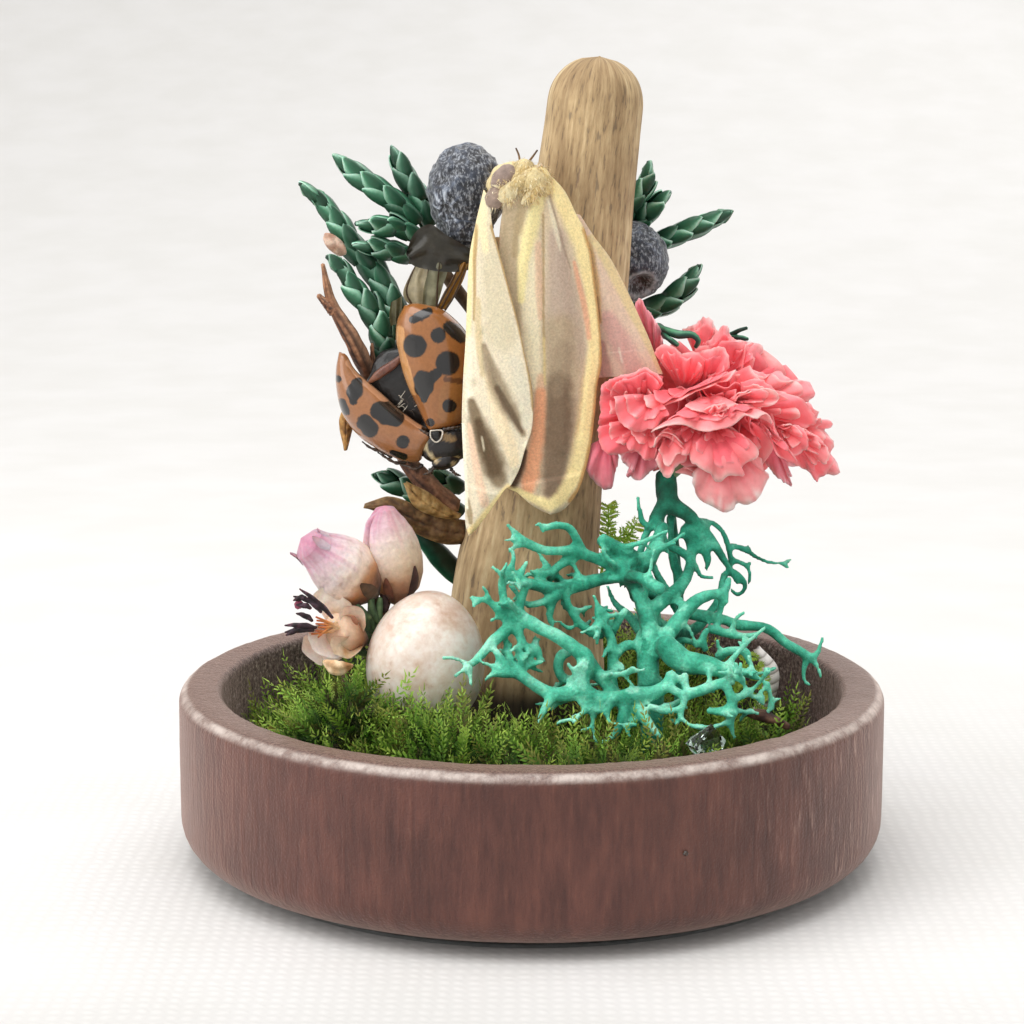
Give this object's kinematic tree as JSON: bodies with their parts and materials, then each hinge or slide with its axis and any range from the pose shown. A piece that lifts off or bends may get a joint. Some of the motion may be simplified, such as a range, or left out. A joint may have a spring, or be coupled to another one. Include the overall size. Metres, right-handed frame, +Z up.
{
  "type": "insect arrangement on wooden display dish",
  "caption": "Dried moth and lady beetle fixed to a driftwood post with juniper, berries, heather, a pink flower, teal lichen, moss and a pebble in a small turned wooden dish.",
  "frame": {"origin": "centre of the dish's underside, on the surface it stands on", "axes": "+Z up along the dish's axis; -Y towards the front, where the moth faces; +X to the right seen from the front"},
  "size_m": [0.03, 0.03, 0.0338],
  "materials": {
    "stained_wood": "open-grained turned hardwood, dark reddish brown stain, satin wax",
    "clear_film": "clear self-adhesive foot disc",
    "moss": "preserved cushion moss, matte, bright yellow green tips",
    "driftwood": "weathered tan wood, worn smooth, dry",
    "moth_scales": "cream and grey-brown wing scales, matte, faintly translucent",
    "moth_fur": "cream and mauve-brown fur",
    "elytron": "orange wing case with black spots, glossy",
    "beetle_black": "black and brown cuticle, satin",
    "hindwing_film": "smoky translucent wing membrane",
    "juniper_leaf": "preserved juniper scale leaves, waxy",
    "juniper_bark": "thin brown bark",
    "berry_skin": "dried blue-black berry skin with a pale bloom",
    "brown_bark": "dry reddish brown bark",
    "dried_leaf": "dried brown leaf, brittle, matte",
    "heather_petal": "dried pinkish white bell petals with brown calyx lobes",
    "heather_bark": "thin olive green stem",
    "pebble": "tumbled cream stone with tan mottles, polished",
    "lichen": "preserved reindeer lichen dyed teal, matte",
    "pink_petal": "dried petals dyed coral pink, thin and ruffled",
    "calyx": "pale green dried calyx",
    "quartz": "clear broken quartz",
    "shell": "thin ribbed white shell"
  },
  "bodies": {
    "root": {"wooden_dish": "stained_wood", "clear_foot_disc": "clear_film", "moss_bed": "moss", "driftwood_post": "driftwood", "egg_pebble": "pebble", "moth_body": "moth_fur", "moth_forewing_left": "moth_scales", "moth_forewing_right": "moth_scales", "moth_hindwing_left": "moth_scales", "moth_hindwing_right": "moth_scales", "beetle_body": "beetle_black", "beetle_elytron_left": "elytron", "beetle_elytron_right": "elytron", "beetle_hindwing_left": "hindwing_film", "beetle_hindwing_right": "hindwing_film", "juniper_stem_left": "juniper_bark", "juniper_stem_right": "juniper_bark", "juniper_cone_scale": "dried_leaf", "berry_left": "berry_skin", "berry_right": "berry_skin", "brown_twig": "brown_bark", "dried_leaf_pointed": "dried_leaf", "dried_leaf_upper": "dried_leaf", "dried_leaf_lower": "dried_leaf", "heather_stem": "heather_bark", "heather_bell_left": "heather_petal", "heather_bell_upright": "heather_petal", "heather_flower_open": "heather_petal", "flower_calyx": "calyx", "flower_head": "pink_petal", "quartz_chip": "quartz", "shell_fragment": "shell", "bed_twig": "brown_bark", "juniper_sprig_left_1": "juniper_leaf", "juniper_sprig_left_2": "juniper_leaf", "juniper_sprig_left_3": "juniper_leaf", "juniper_sprig_left_4": "juniper_leaf", "juniper_sprig_left_5": "juniper_leaf", "juniper_sprig_left_6": "juniper_leaf", "juniper_sprig_right_1": "juniper_leaf", "juniper_sprig_right_2": "juniper_leaf", "juniper_sprig_right_3": "juniper_leaf", "juniper_sprig_right_4": "juniper_leaf", "juniper_sprig_right_5": "juniper_leaf", "juniper_sprig_right_6": "juniper_leaf", "juniper_sprig_low_1": "juniper_leaf", "juniper_sprig_low_2": "juniper_leaf", "juniper_sprig_low_3": "juniper_leaf", "lichen_trunk": "lichen", "lichen_flower_neck": "lichen", "lichen_right_tip": "lichen", "lichen_long_right": "lichen", "lichen_pale_fork": "lichen", "lichen_upper_diagonal": "lichen", "lichen_upper_left": "lichen", "lichen_middle_left": "lichen", "lichen_lower_left": "lichen", "lichen_low_right": "lichen"}
  },
  "joints": []
}
